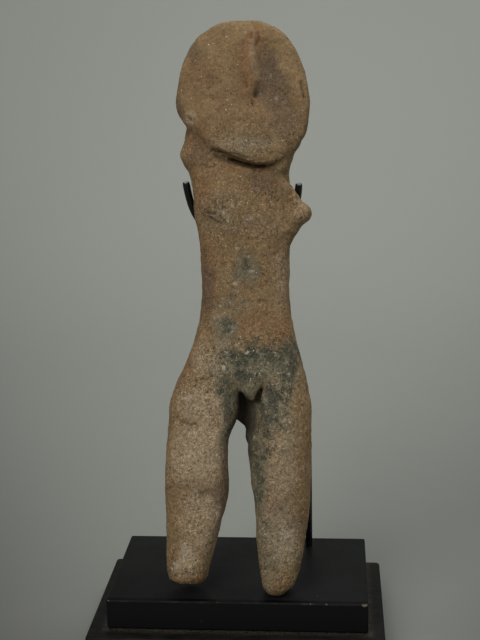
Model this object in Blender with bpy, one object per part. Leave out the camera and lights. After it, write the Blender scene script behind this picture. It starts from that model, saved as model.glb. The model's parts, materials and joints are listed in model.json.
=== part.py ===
"""An ancient clay figurine with a disc face, leaning back on a forked rod above a stepped black stand.

Metres, +Z up. The origin is the middle of the stand's underside. The figure faces -Y and +X is at
the viewer's right hand. The clay figure is worked out on a grid of its own, whose height runs from
the foot to the crown, and is then leaned back and set down on the stand.
"""
import math

import bmesh
import bpy
from mathutils import Matrix, Vector
from mathutils.bvhtree import BVHTree

MM = 0.001

# Lower block of the stand, a stained wooden plinth
PLINTH_WIDTH = 113.7 * MM
PLINTH_DEPTH = 68.5 * MM
PLINTH_HEIGHT = 13.0 * MM
PLINTH_CORNER = 1.5 * MM
PLINTH_EDGE = 0.9 * MM

# Upper block of the stand, a black lacquered plate
PLATE_WIDTH = 100.0 * MM
PLATE_DEPTH = 58.4 * MM
PLATE_HEIGHT = 11.9 * MM
PLATE_CORNER = 1.8 * MM
PLATE_EDGE = 0.6 * MM
PLATE_LEFT_MARGIN = 7.4 * MM
PLATE_FRONT_MARGIN = 7.2 * MM

# Rod that the post and the fork are bent from
ROD_DIAMETER = 3.0 * MM
ROD_CHAMFER = 0.45 * MM
POST_FROM_RIGHT_EDGE = 23.4 * MM
POST_FROM_BACK_EDGE = 7.8 * MM
POST_SEAT_DEPTH = 7.0 * MM
POST_STRAIGHT = 40.0 * MM
FORK_STRAIGHT = 4.6 * MM
FORK_RIGHT_SHORTER = 1.3 * MM
FORK_TILT = math.radians(25.0)

# Along the rod: the width of its cut ends, the fork's turn, and how softly the post bends
ROD_END_WIDTH = 0.75
ROD_SEGMENTS = 4
FORK_TURNS = 28
FORK_ROUNDS = 30
FORK_EASE = 0.25
POST_TURNS = 24
POST_HANDLE = 0.45

# Fits between the pieces
GAP = 0.3 * MM
HOLE_CLEARANCE = 0.3 * MM
CRADLE_CLEARANCE = 0.45 * MM
FORK_SIDE_CLEARANCE = 0.8 * MM

# How finely the blocks' corners, edges and hole are rounded
CORNER_SEGMENTS = 5
EDGE_SEGMENTS = 3
HOLE_SIDES = 24
SHARP_ANGLE = math.radians(40.0)

# The figure, leaned back against its fork
FIGURE_LENGTH = 219.0 * MM
FIGURE_LEAN = math.radians(12.0)
FIGURE_SETBACK = 9.3 * MM

# The figure's proportions are shares of its length, counted on a grid of 219 units
GRID = 219.0
FORK_TOP_AT = 157.0
FORK_CENTRE_AT = 3.0
RING_SIDES = 40
ROW_STEP = 2.5
VOXEL = 0.9
RELAX_SHARE = 0.5
RELAX_ROUNDS = 4
FIGURE_FACES = 7400

# Rows of a body part: height, middle across, half width, depth in front, depth behind
TRUNK = (
    (72.0, 1.4, 26.8, 8.6, 11.5),
    (78.0, 1.8, 25.8, 9.2, 13.0),
    (84.0, 2.5, 23.9, 9.4, 12.6),
    (90.0, 3.1, 21.6, 9.4, 11.0),
    (97.0, 3.4, 19.4, 9.2, 9.4),
    (105.0, 3.7, 17.7, 8.8, 8.4),
    (114.0, 3.7, 16.7, 8.4, 8.0),
    (124.0, 3.7, 17.0, 8.2, 8.2),
    (134.0, 3.4, 17.4, 8.2, 8.6),
    (145.0, 2.8, 18.2, 8.2, 8.8),
    (154.0, 2.3, 18.9, 7.8, 8.6),
    (160.5, 1.4, 19.2, 7.2, 8.0),
    (164.5, 0.7, 21.2, 6.8, 7.4),
    (168.0, 0.5, 22.2, 6.6, 7.0),
    (173.0, 1.1, 21.1, 6.4, 6.6),
    (179.0, 2.2, 20.2, 6.0, 6.0),
    (186.0, 2.8, 18.0, 4.5, 4.9),
    (194.0, 3.0, 14.5, 2.0, 3.2),
    (201.0, 3.0, 9.0, 1.0, 1.6),
)
LEFT_LEG = (
    (3.8, -19.2, 6.8, 6.0, 6.2),
    (4.8, -19.3, 7.8, 7.0, 7.0),
    (7.5, -19.2, 8.2, 7.6, 7.4),
    (12.0, -18.7, 8.8, 8.0, 7.8),
    (19.5, -17.6, 9.8, 8.5, 8.3),
    (27.3, -16.7, 10.9, 9.0, 8.8),
    (35.0, -15.8, 11.9, 9.4, 9.3),
    (41.0, -15.5, 12.3, 9.6, 9.6),
    (50.0, -15.6, 11.8, 9.6, 10.0),
    (58.5, -15.0, 11.7, 9.4, 10.6),
    (66.0, -13.0, 13.1, 9.3, 11.4),
    (74.0, -12.0, 13.2, 9.4, 12.0),
    (84.0, -10.6, 9.8, 9.0, 11.0),
)
RIGHT_LEG = (
    (-0.2, 13.6, 2.0, 2.8, 2.0),
    (0.7, 14.6, 4.8, 4.8, 4.2),
    (2.6, 15.6, 6.3, 6.2, 5.8),
    (6.4, 16.1, 7.5, 7.2, 6.8),
    (12.3, 16.5, 8.5, 8.0, 7.6),
    (20.0, 16.7, 9.5, 8.6, 8.2),
    (27.8, 17.2, 10.1, 9.0, 8.8),
    (35.6, 17.3, 10.9, 9.4, 9.3),
    (43.3, 16.9, 11.7, 9.6, 9.7),
    (51.0, 16.6, 12.0, 9.6, 10.1),
    (58.7, 16.2, 12.4, 9.4, 10.7),
    (66.0, 15.8, 12.9, 9.3, 11.4),
    (74.0, 15.9, 12.4, 9.4, 12.0),
    (84.0, 14.4, 10.4, 9.0, 11.0),
)
HEAD = (
    (161.6, 11.6, 3.0, 2.8, 1.6),
    (163.2, 10.9, 7.2, 4.2, 3.0),
    (165.6, 9.3, 11.2, 5.0, 3.8),
    (168.2, 8.0, 15.4, 5.2, 4.4),
    (171.0, 7.4, 18.2, 5.2, 4.8),
    (174.4, 6.5, 21.0, 5.2, 5.0),
    (177.5, 4.7, 23.4, 5.0, 5.4),
    (181.0, 3.7, 24.9, 4.9, 5.6),
    (185.5, 3.3, 25.6, 4.8, 5.6),
    (192.0, 3.2, 24.9, 4.6, 5.4),
    (199.5, 3.1, 23.4, 4.6, 5.0),
    (207.0, 2.9, 20.1, 4.4, 4.4),
    (212.0, 2.8, 16.4, 4.0, 3.8),
    (215.5, 2.8, 11.0, 3.2, 3.0),
    (217.5, 3.8, 5.8, 2.0, 2.0),
)
# How square a part's rows are, at its lowest and at its highest row
TRUNK_SQUARENESS = (2.7, 2.7)
LEFT_LEG_SQUARENESS = (2.2, 3.9)
RIGHT_LEG_SQUARENESS = (2.2, 2.5)
HEAD_SQUARENESS = (2.9, 2.9)
HEAD_CHIN_FORWARD = 6.6
HEAD_CROWN_FORWARD = 1.2
# The lowest rows tilt from front to back, and level out over a share of the part's height
CROTCH_SLOPE = -0.9
LEFT_FOOT_SLOPE = 0.12
RIGHT_FOOT_SLOPE = 0.35
SLOPE_REACH = 0.11

# The notch between the legs, as it opens at the front, and how it runs to the back
NOTCH = (
    (1.9, 80.8), (0.8, 72.0), (-0.2, 62.0), (-0.8, 52.0),
    (3.6, 52.0), (5.6, 66.0), (6.3, 75.2), (5.6, 77.0),
)
NOTCH_FRONT = -12.0
NOTCH_BACK = 15.0
NOTCH_FALL = -0.87
NOTCH_TAPER = 0.7
NOTCH_LEVEL_AT = -8.0

# Swellings of the clay: middle, half sizes, nod forward and turn sideways in degrees
SWELLINGS = {
    "left buttock": ((-12.0, 6.5, 74.0), (11.6, 8.0, 14.0), (0.0, 0.0)),
    "right buttock": ((15.0, 6.5, 74.0), (12.5, 8.0, 14.0), (0.0, 0.0)),
    "nose": ((6.3, -4.9, 200.5), (5.6, 4.4, 14.5), (7.0, 0.0)),
    "nose tip": ((6.4, -7.0, 191.2), (3.9, 3.4, 5.0), (7.0, 0.0)),
    "flap": ((6.3, -7.4, 80.0), (2.3, 2.3, 4.6), (0.0, -6.0)),
    "right of the neck": ((16.2, -4.4, 166.5), (4.9, 5.4, 8.0), (0.0, -15.0)),
    "broken breast": ((-7.2, -7.0, 148.2), (5.6, 2.2, 5.8), (0.0, 0.0)),
    "slope above the breast": ((21.6, -6.4, 151.2), (2.4, 2.6, 7.4), (0.0, -33.0)),
    "slope below the breast": ((22.8, -6.2, 141.0), (2.0, 2.4, 5.4), (0.0, 43.0)),
    "left shoulder": ((-18.1, -3.0, 166.4), (2.0, 3.0, 3.0), (0.0, 0.0)),
}
BREAST_ROOT = Vector((14.0, 0.6, 142.6))
BREAST_TIP = Vector((25.2, -5.6, 144.3))
BREAST_ROOT_RADIUS = 16.0
BREAST_TIP_RADIUS = 4.2
BREAST_FLATNESS = 0.56
SWELLING_ROUNDS = 4
BREAST_SIDES = 32

# Strokes pressed into the clay: start, end, reach, depth
STROKE_SPREAD = 1.6
STROKES = {
    "groove beside the flap": ((9.9, -9.2, 80.4), (7.9, -9.2, 75.0), 1.5, 2.4),
    "under the chin": ((-6.0, -7.0, 166.4), (11.0, -7.0, 160.6), 2.4, 1.3),
    "under the chin at the right": ((11.0, -7.0, 160.6), (18.0, -7.0, 163.4), 2.2, 1.0),
    "left nostril": ((3.0, -9.5, 193.5), (3.4, -9.5, 191.0), 1.6, 0.9),
    "right cheek": ((12.0, -8.5, 203.0), (12.5, -9.5, 186.0), 5.5, 0.9),
    "left knee dent": ((-11.5, -9.5, 38.0), (-11.0, -9.5, 33.0), 3.0, 0.8),
    "chipped jaw": ((-20.4, -7.5, 181.5), (-17.2, -7.5, 177.2), 2.2, 0.8),
    "spine": ((3.2, 8.8, 96.0), (2.6, 8.8, 158.0), 5.0, 0.7),
    "cleft": ((1.4, 13.5, 86.0), (1.2, 12.5, 66.0), 3.4, 2.6),
}


def clear_scene():
    """Empties the scene."""
    for thing in list(bpy.data.objects):
        bpy.data.objects.remove(thing, do_unlink=True)


def principled(name, colour, roughness, metallic):
    """A plain material with one colour."""
    material = bpy.data.materials.new(name)
    material.use_nodes = True
    shader = material.node_tree.nodes["Principled BSDF"]
    shader.inputs["Base Color"].default_value = (*colour, 1.0)
    shader.inputs["Roughness"].default_value = roughness
    shader.inputs["Metallic"].default_value = metallic
    material.diffuse_color = (*colour, 1.0)
    return material


def add_object(name, data, material):
    """Puts a mesh or a curve in the scene under its own name."""
    thing = bpy.data.objects.new(name, data)
    data.materials.append(material)
    bpy.context.scene.collection.objects.link(thing)
    return thing


def mesh_from(name, bm):
    """Turns a bmesh into a mesh and frees it."""
    mesh = bpy.data.meshes.new(name)
    bm.to_mesh(mesh)
    bm.free()
    return mesh


def baked(thing):
    """Replaces an object's modifiers by their result."""
    graph = bpy.context.evaluated_depsgraph_get()
    graph.update()
    mesh = bpy.data.meshes.new_from_object(thing.evaluated_get(graph))
    thing.modifiers.clear()
    old = thing.data
    thing.data = mesh
    bpy.data.meshes.remove(old)


# The stand

def block(name, width, depth, height, corner, edge, material):
    """A block with rounded upright corners and eased edges, its underside at z = 0."""
    bm = bmesh.new()
    bmesh.ops.create_cube(bm, size=1.0)
    bmesh.ops.scale(bm, vec=(width, depth, height), verts=bm.verts)
    bmesh.ops.translate(bm, vec=(0.0, 0.0, height / 2), verts=bm.verts)
    upright = [e for e in bm.edges if abs(e.verts[0].co.z - e.verts[1].co.z) > height / 2]
    bmesh.ops.bevel(bm, geom=upright, offset=corner, segments=CORNER_SEGMENTS, profile=0.5,
                      affect="EDGES", material=-1)
    level = [e for e in bm.edges if abs(e.verts[0].co.z - e.verts[1].co.z) < height / 2]
    bmesh.ops.bevel(bm, geom=level, offset=edge, segments=EDGE_SEGMENTS, profile=0.5,
                      affect="EDGES", material=-1)
    mesh = mesh_from(name, bm)
    mesh.shade_smooth()
    mesh.set_sharp_from_angle(angle=SHARP_ANGLE)
    return add_object(name, mesh, material)


def plate_middle():
    """Where the middle of the upper block's underside is, with its gap to the plinth."""
    across = (PLATE_WIDTH - PLINTH_WIDTH) / 2 + PLATE_LEFT_MARGIN
    back = (PLATE_DEPTH - PLINTH_DEPTH) / 2 + PLATE_FRONT_MARGIN
    return Vector((across, back, PLINTH_HEIGHT + GAP))


def plate_top():
    """How high the upper block's top is."""
    return plate_middle().z + PLATE_HEIGHT


def post_place():
    """Where the post comes out of the upper block's top."""
    middle = plate_middle()
    x = middle.x + PLATE_WIDTH / 2 - POST_FROM_RIGHT_EDGE
    y = middle.y + PLATE_DEPTH / 2 - POST_FROM_BACK_EDGE
    return Vector((x, y, plate_top()))


def make_stand():
    """The two blocks, the upper one drilled for the post."""
    wood = principled("Stained wood", (0.020, 0.016, 0.013), 0.55, 0.0)
    lacquer = principled("Black lacquer", (0.008, 0.009, 0.009), 0.35, 0.0)
    block("base_plinth", PLINTH_WIDTH, PLINTH_DEPTH, PLINTH_HEIGHT, PLINTH_CORNER, PLINTH_EDGE, wood)
    plate = block("base_plate", PLATE_WIDTH, PLATE_DEPTH, PLATE_HEIGHT, PLATE_CORNER, PLATE_EDGE, lacquer)
    plate.location = plate_middle()

    bm = bmesh.new()
    radius = ROD_DIAMETER / 2 + HOLE_CLEARANCE
    bmesh.ops.create_cone(bm, cap_ends=True, segments=HOLE_SIDES, radius1=radius, radius2=radius,
                          depth=2 * POST_SEAT_DEPTH)
    drill = bpy.data.objects.new("post_drill", mesh_from("post_drill", bm))
    bpy.context.scene.collection.objects.link(drill)
    drill.location = post_place()
    drill.hide_render = True
    drill.display_type = "WIRE"
    cut = plate.modifiers.new("Post hole", "BOOLEAN")
    cut.operation = "DIFFERENCE"
    cut.object = drill
    baked(plate)
    bpy.data.objects.remove(drill, do_unlink=True)
    plate.data.set_sharp_from_angle(angle=SHARP_ANGLE)


# The clay figure

def curve_value(before, start, end, after, t):
    """A smooth curve through a column of the rows."""
    return 0.5 * (2 * start + (end - before) * t + (2 * before - 5 * start + 4 * end - after) * t * t
                  + (3 * start - before - 3 * end + after) * t ** 3)


def filled_rows(rows):
    """The rows with smooth ones between them, about ROW_STEP apart."""
    dense = []
    for i in range(len(rows) - 1):
        near = [rows[max(i - 1, 0)], rows[i], rows[i + 1], rows[min(i + 2, len(rows) - 1)]]
        count = max(1, round((rows[i + 1][0] - rows[i][0]) / ROW_STEP))
        for k in range(count):
            t = k / count
            row = [curve_value(*(r[c] for r in near), t) for c in range(len(rows[0]))]
            row[0] = rows[i][0] + (rows[i + 1][0] - rows[i][0]) * t
            dense.append(row)
    dense.append(list(rows[-1]))
    return dense


def squared(value, squareness):
    """Moves a cosine or sine outwards, so that a circle turns into a rounded rectangle."""
    return math.copysign(abs(value) ** (2 / squareness), value)


def loft(bm, rows, squarenesses, forward=lambda height: 0.0, slope=0.0):
    """Skins the rows into one closed form; slope tilts the lowest row, and fades upwards."""
    rings = []
    dense = filled_rows(rows)
    span = rows[-1][0] - rows[0][0]
    reach = SLOPE_REACH * span
    for height, middle, half, front, back in dense:
        made = bmesh.ops.create_circle(bm, cap_ends=False, segments=RING_SIDES, radius=1.0)
        tilt = slope * max(0.0, 1 - (height - rows[0][0]) / reach)
        squareness = squarenesses[0] + (squarenesses[1] - squarenesses[0]) * (height - rows[0][0]) / span
        for vert in made["verts"]:
            angle = math.atan2(vert.co.y, vert.co.x)
            x = half * squared(math.cos(angle), squareness)
            y = squared(math.sin(angle), squareness)
            y = y * (back if y > 0 else front)
            vert.co = (middle + x, y - forward(height), height + tilt * y)
        edges = {edge for vert in made["verts"] for edge in vert.link_edges}
        rings.append(list(edges))
    for lower, upper in zip(rings, rings[1:]):
        bmesh.ops.bridge_loops(bm, edges=lower + upper)
    bmesh.ops.contextual_create(bm, geom=rings[0])
    bmesh.ops.contextual_create(bm, geom=rings[-1])


def swelling(bm, middle, sizes, turns):
    """An egg of clay pressed onto the form."""
    nod, turn = (math.radians(angle) for angle in turns)
    turned = Matrix.Rotation(-nod, 4, "X") @ Matrix.Rotation(turn, 4, "Y")
    place = Matrix.Translation(middle) @ turned @ Matrix.Diagonal((*sizes, 1.0))
    bmesh.ops.create_icosphere(bm, subdivisions=SWELLING_ROUNDS, radius=1.0, matrix=place)


def breast(bm):
    """The blunt cone at the viewer's right of the chest."""
    axis = BREAST_TIP - BREAST_ROOT
    turn = axis.to_track_quat("Z", "X").to_matrix().to_4x4()
    flatten = Matrix.Diagonal((1.0, BREAST_FLATNESS, 1.0, 1.0))
    place = Matrix.Translation((BREAST_ROOT + BREAST_TIP) / 2) @ turn @ flatten
    bmesh.ops.create_cone(bm, cap_ends=True, segments=BREAST_SIDES,
                          radius1=BREAST_ROOT_RADIUS, radius2=BREAST_TIP_RADIUS,
                          depth=axis.length, matrix=place)
    bmesh.ops.create_icosphere(bm, subdivisions=SWELLING_ROUNDS, radius=BREAST_TIP_RADIUS,
                               matrix=Matrix.Translation(BREAST_TIP))


def notch_cutter():
    """The wedge that parts the legs: it runs back and down, and narrows behind."""
    bm = bmesh.new()
    raised = NOTCH_FALL * (NOTCH_FRONT - NOTCH_LEVEL_AT)
    corners = [bm.verts.new((x, NOTCH_FRONT, z + raised)) for x, z in NOTCH]
    front = bm.faces.new(corners)
    swept = bmesh.ops.extrude_face_region(bm, geom=[front])
    far = [part for part in swept["geom"] if isinstance(part, bmesh.types.BMVert)]
    run = NOTCH_BACK - NOTCH_FRONT
    bmesh.ops.translate(bm, vec=(0.0, run, NOTCH_FALL * run), verts=far)
    bmesh.ops.scale(bm, vec=(NOTCH_TAPER, 1.0, 1.0), verts=far)
    bmesh.ops.recalc_face_normals(bm, faces=bm.faces)
    cutter = bpy.data.objects.new("notch_cutter", mesh_from("notch_cutter", bm))
    bpy.context.scene.collection.objects.link(cutter)
    cutter.hide_render = True
    cutter.display_type = "WIRE"
    return cutter


def head_forward(height):
    """How far the disc stands in front of the trunk's middle, more at the chin than at the crown."""
    share = (height - HEAD[0][0]) / (HEAD[-1][0] - HEAD[0][0])
    return HEAD_CHIN_FORWARD + (HEAD_CROWN_FORWARD - HEAD_CHIN_FORWARD) * share


def press(mesh, start, end, reach, depth):
    """Pushes the surface in along a line, with a soft edge."""
    start, end = Vector(start), Vector(end)
    run = end - start
    moves = []
    for vert in mesh.vertices:
        along = max(0.0, min(1.0, (vert.co - start).dot(run) / run.length_squared))
        away = (vert.co - start - run * along).length / (reach * STROKE_SPREAD)
        if away < 1.0:
            moves.append((vert.index, vert.normal * (-depth * (1 - away * away) ** 2)))
    for index, move in moves:
        mesh.vertices[index].co += move


def make_figure():
    """The clay figure as one body, leaned back and set down on the stand."""
    clay = principled("Fired clay", (0.205, 0.135, 0.075), 0.9, 0.0)
    bm = bmesh.new()
    loft(bm, TRUNK, TRUNK_SQUARENESS, slope=CROTCH_SLOPE)
    loft(bm, LEFT_LEG, LEFT_LEG_SQUARENESS, slope=LEFT_FOOT_SLOPE)
    loft(bm, RIGHT_LEG, RIGHT_LEG_SQUARENESS, slope=RIGHT_FOOT_SLOPE)
    loft(bm, HEAD, HEAD_SQUARENESS, head_forward)
    for middle, sizes, turns in SWELLINGS.values():
        swelling(bm, middle, sizes, turns)
    breast(bm)
    bmesh.ops.recalc_face_normals(bm, faces=bm.faces)
    figure = add_object("figurine", mesh_from("figurine", bm), clay)

    cutter = notch_cutter()
    one_skin = figure.modifiers.new("One skin", "REMESH")
    one_skin.mode = "VOXEL"
    one_skin.voxel_size = VOXEL
    notch = figure.modifiers.new("Notch", "BOOLEAN")
    notch.operation = "DIFFERENCE"
    notch.object = cutter
    even_skin = figure.modifiers.new("Even skin", "REMESH")
    even_skin.mode = "VOXEL"
    even_skin.voxel_size = VOXEL
    relax = figure.modifiers.new("Relax", "SMOOTH")
    relax.factor = RELAX_SHARE
    relax.iterations = RELAX_ROUNDS
    baked(figure)
    bpy.data.objects.remove(cutter, do_unlink=True)
    for start, end, reach, depth in STROKES.values():
        press(figure.data, start, end, reach, depth)
    figure.data.update()
    thin = figure.modifiers.new("Thin out", "DECIMATE")
    thin.ratio = min(1.0, FIGURE_FACES / (2 * len(figure.data.polygons)))
    thin.use_collapse_triangulate = True
    baked(figure)

    unit = FIGURE_LENGTH / GRID
    place = Matrix.Rotation(-FIGURE_LEAN, 4, "X") @ Matrix.Scale(unit, 4)
    figure.data.transform(place)
    lowest = min(vert.co.z for vert in figure.data.vertices)
    middle = plate_middle()
    figure.location = (middle.x, middle.y - PLATE_DEPTH / 2 + FIGURE_SETBACK,
                       plate_top() + GAP - lowest)
    figure.data.shade_smooth()
    return figure


# The bent rods

def figure_point(figure, x, depth, height):
    """A point of the figure's grid, in metres where the figure stands; x is in metres."""
    unit = FIGURE_LENGTH / GRID
    leaned = Matrix.Rotation(-FIGURE_LEAN, 3, "X") @ Vector((0.0, depth * unit, height * unit))
    return figure.location + leaned + Vector((FORK_CENTRE_AT * unit + x, 0.0, 0.0))


def skin_of(figure):
    """The figure's surface where it stands, for measuring distances to it."""
    verts = [figure.location + vert.co for vert in figure.data.vertices]
    return BVHTree.FromPolygons(verts, [face.vertices[:] for face in figure.data.polygons])


def stand_off(skin, point, distance):
    """Moves a point straight out of the clay until it is the distance away."""
    nearest, normal, _, _ = skin.find_nearest(point)
    away = point - nearest
    inside = away.dot(normal) < 0
    if not inside and away.length >= distance:
        return point
    out = normal if inside or away.length < 0.1 * distance else away.normalized()
    return nearest + out * distance


def chest_half_width():
    """Half the trunk's width where the fork's ends stand, in metres."""
    row = min(TRUNK, key=lambda each: abs(each[0] - FORK_TOP_AT))
    return row[2] * FIGURE_LENGTH / GRID


def fork_route(figure, skin):
    """The fork's middle line: a half circle behind the chest with both ends turned up beside it."""
    up = Matrix.Rotation(-FIGURE_LEAN, 3, "X") @ Vector((0.0, 0.0, 1.0))
    rise = Matrix.Rotation(FORK_TILT, 3, "X") @ up
    across = Vector((1.0, 0.0, 0.0))
    distance = ROD_DIAMETER / 2 + CRADLE_CLEARANCE
    half = chest_half_width() + FORK_SIDE_CLEARANCE + ROD_DIAMETER / 2
    drop = (FORK_STRAIGHT + half) * math.cos(FORK_TILT) / (FIGURE_LENGTH / GRID)
    inside = figure_point(figure, 0.0, 0.0, FORK_TOP_AT - drop)
    behind = Vector((0.0, math.cos(FIGURE_LEAN), -math.sin(FIGURE_LEAN)))
    back, _, _, _ = skin.ray_cast(inside, behind)
    bottom = back + behind * distance
    centre = bottom + rise * half
    route = [centre - across * half + rise * FORK_STRAIGHT]
    for k in range(FORK_TURNS + 1):
        angle = math.pi + math.pi * k / FORK_TURNS
        route.append(centre + (across * math.cos(angle) + rise * math.sin(angle)) * half)
    route.append(centre + across * half + rise * (FORK_STRAIGHT - FORK_RIGHT_SHORTER))
    for _ in range(FORK_ROUNDS):
        route = [stand_off(skin, point, distance) for point in route]
        eased = [here.lerp((before + after) / 2, FORK_EASE)
                 for before, here, after in zip(route, route[1:], route[2:])]
        route = [route[0], *eased, route[-1]]
    return [stand_off(skin, point, distance) for point in route], up


def post_route(bottom, up):
    """The post's middle line: straight up out of the plate, then over to the middle of the fork."""
    foot = post_place()
    end = bottom - up * (ROD_DIAMETER / 2 + GAP)
    bend = foot + Vector((0.0, 0.0, POST_STRAIGHT))
    rise = end.z - bend.z
    first = bend + Vector((0.0, 0.0, POST_HANDLE * rise))
    second = end - Vector((0.0, 0.0, POST_HANDLE * rise))
    route = [foot - Vector((0.0, 0.0, POST_SEAT_DEPTH - GAP)), foot, foot.lerp(bend, 0.5)]
    for k in range(POST_TURNS + 1):
        t = k / POST_TURNS
        a = bend.lerp(first, t)
        b = first.lerp(second, t)
        c = second.lerp(end, t)
        route.append(a.lerp(b, t).lerp(b.lerp(c, t), t))
    return route


def rod(name, route, material):
    """A round rod along a route, with slightly eased ends."""
    first_step = (route[1] - route[0]).normalized() * ROD_CHAMFER
    last_step = (route[-2] - route[-1]).normalized() * ROD_CHAMFER
    points = [route[0], route[0] + first_step, *route[1:-1], route[-1] + last_step, route[-1]]
    widths = [ROD_END_WIDTH] + [1.0] * (len(points) - 2) + [ROD_END_WIDTH]
    curve = bpy.data.curves.new(name, "CURVE")
    curve.dimensions = "3D"
    curve.bevel_depth = ROD_DIAMETER / 2
    curve.bevel_resolution = ROD_SEGMENTS
    curve.use_fill_caps = True
    spline = curve.splines.new("POLY")
    spline.points.add(len(points) - 1)
    for slot, point, width in zip(spline.points, points, widths):
        slot.co = (*point, 1.0)
        slot.radius = width
    return add_object(name, curve, material)


def make_support(figure):
    """The fork that holds the chest, and the post that carries the fork."""
    paint = principled("Black painted metal", (0.008, 0.008, 0.008), 0.3, 0.0)
    skin = skin_of(figure)
    route, up = fork_route(figure, skin)
    rod("support_fork", route, paint)
    bottom = route[len(route) // 2]
    rod("support_post", post_route(bottom, up), paint)


def main():
    clear_scene()
    make_stand()
    figure = make_figure()
    make_support(figure)


main()
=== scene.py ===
"""An ancient clay figurine leaning in a forked rod above a stepped black stand, dressed for close views.

The packed solids give every piece its place and size. Each operator models one piece around them.
"""
import json
import math

import bmesh
import bpy
import numpy as np
from bpy.props import FloatProperty, FloatVectorProperty, PointerProperty
from mathutils import Matrix, Vector, noise
from mathutils.bvhtree import BVHTree

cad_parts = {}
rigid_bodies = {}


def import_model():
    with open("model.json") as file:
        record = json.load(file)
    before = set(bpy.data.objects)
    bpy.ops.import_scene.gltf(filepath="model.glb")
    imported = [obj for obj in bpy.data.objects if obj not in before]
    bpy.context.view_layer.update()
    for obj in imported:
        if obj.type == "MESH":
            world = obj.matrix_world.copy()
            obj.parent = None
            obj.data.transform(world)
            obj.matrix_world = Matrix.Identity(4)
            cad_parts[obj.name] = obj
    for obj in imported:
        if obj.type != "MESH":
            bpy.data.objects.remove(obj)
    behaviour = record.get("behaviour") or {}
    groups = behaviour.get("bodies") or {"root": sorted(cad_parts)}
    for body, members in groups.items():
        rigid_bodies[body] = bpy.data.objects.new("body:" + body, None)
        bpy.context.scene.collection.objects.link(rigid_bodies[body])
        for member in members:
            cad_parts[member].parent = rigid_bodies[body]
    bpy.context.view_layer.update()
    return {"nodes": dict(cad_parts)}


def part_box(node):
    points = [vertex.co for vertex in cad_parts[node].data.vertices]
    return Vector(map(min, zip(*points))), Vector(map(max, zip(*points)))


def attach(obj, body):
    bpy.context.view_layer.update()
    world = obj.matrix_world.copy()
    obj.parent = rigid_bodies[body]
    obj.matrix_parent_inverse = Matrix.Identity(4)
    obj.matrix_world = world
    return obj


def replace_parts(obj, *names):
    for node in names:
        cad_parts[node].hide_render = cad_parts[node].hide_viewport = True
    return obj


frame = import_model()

bl_info = {
    "name": "Clay Figurine on a Stand",
    "version": (1, 0, 0),
    "blender": (4, 5, 0),
    "location": "3D View > Sidebar > Figurine",
    "description": "Models a clay figurine, its forked support and its stepped stand",
    "category": "Object",
}

MM = 0.001

# The figure is sculpted on a grid of its own, in millimetres: across, depth, height along the figure.
# Its front is found by rays that start well in front of it.
FIGURE_FOOT = Vector((0.55, -17.75, 25.92)) * MM
FIGURE_LEAN = math.radians(12.0)
TO_ROW = Matrix.Translation(FIGURE_FOOT) @ Matrix.Rotation(-FIGURE_LEAN, 4, "X") @ Matrix.Scale(MM, 4)
TO_GRID = TO_ROW.inverted()
IN_FRONT = -60.0

# Clay added before the skin is made: middle, half sizes, turn sideways in degrees
ADDED_CLAY = {
    "tongue above the notch": ((5.8, -6.4, 80.4), (4.3, 2.3, 5.9), 0),
    "web behind the notch": ((2.2, 8, 66), (6, 3.4, 2.8), 40),
    "inner side of the right thigh": ((8, 4, 62), (5.3, 6, 9), 0),
    "ridge of the nose": ((6.8, -6.6, 201), (2.4, 2.1, 12.5), 2),
    "tip of the nose": ((6.6, -7.9, 192.6), (2.4, 2, 3.4), 0),
    "right of the crown": ((14.9, -3.4, 210.9), (7.2, 2.4, 3.6), 33),
    "left of the crown": ((-3.5, -3.5, 212.7), (6, 2.4, 4.1), -12),
    "left of the chest": ((-12.5, 0, 147), (3.7, 6, 9), 0),
    "right of the neck": ((21.8, -1, 170.5), (4.6, 2.8, 2.7), -45),
    "sole of the left leg": ((-19.2, 0, 6), (7.5, 7, 4.9), 0),
    "sole of the right leg": ((14.8, -3.4, 4), (5.4, 4.4, 5.5), 0),
}

# Joins smoothed: middle, reach, times
SMOOTHED = {
    "above the breast": ((20.5, -6.5, 151.5), 9, 12),
    "below the breast": ((20.6, -6.8, 141), 5, 4),
    "left jaw": ((-13, -6.5, 172.8), 6.5, 16),
    "left shoulder": ((-17.5, -3, 166), 4, 4),
    "top of the tongue": ((6.2, -7.5, 85.6), 4, 8),
    "right of the tongue": ((11.4, -7.5, 83.4), 2.8, 8),
    "right of the notch": ((13.4, -8, 68), 4.6, 10),
    "nose": ((7, -7.5, 201), 12, 3),
    "crown": ((13, -5, 212), 9, 8),
    "left of the crown": ((-8, -4, 214), 7, 8),
    "end of the left leg": ((-19, -5, 7.5), 5, 5),
}

# Sharp cuts in the front: outline across and up, where it starts and ends in depth, fall, share of
# its width that is left at the end, and the side that stays upright
CUTS = {
    "notch between the legs": (
        ((1.5, 79.4), (1.1, 75.4), (0.8, 71.6), (0.1, 68), (-0.7, 64), (-1.2, 60.5), (6, 60),
         (12.4, 61.5), (14.5, 66), (14.3, 71), (12.3, 73.6), (7.6, 74.2), (4.5, 76.6)),
        -13, 5, -0.12, 0.16, 1),
    "groove beside the tongue": (
        ((6.6, 72.6), (7, 75), (8.2, 77.4), (10.6, 79.7), (11.7, 80.3), (12.2, 79.7), (10.6, 77.5),
         (9.9, 75.4), (10, 72.6)),
        -13, -1.6, -0.12, 0.75, 9),
    "top of the gap": (
        ((-2.4, 62), (-2.1, 64.8), (-2, 66.2), (-1.3, 67.3), (2.3, 64.3), (2.5, 62)),
        0, 18, -0.12, 1, 0),
    "undercut of the chin": (
        ((-5.6, 166.1), (-1.8, 164.8), (2.8, 163.6), (6.6, 162.7), (9.7, 162.2), (13.4, 162.2),
         (13.2, 161.2), (9.7, 160.6), (6.6, 160.9), (2.8, 161.9), (-1.4, 163.1), (-5.2, 164.5)),
        -13, -2.6, 0.3, 0.9, 4),
}
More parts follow.
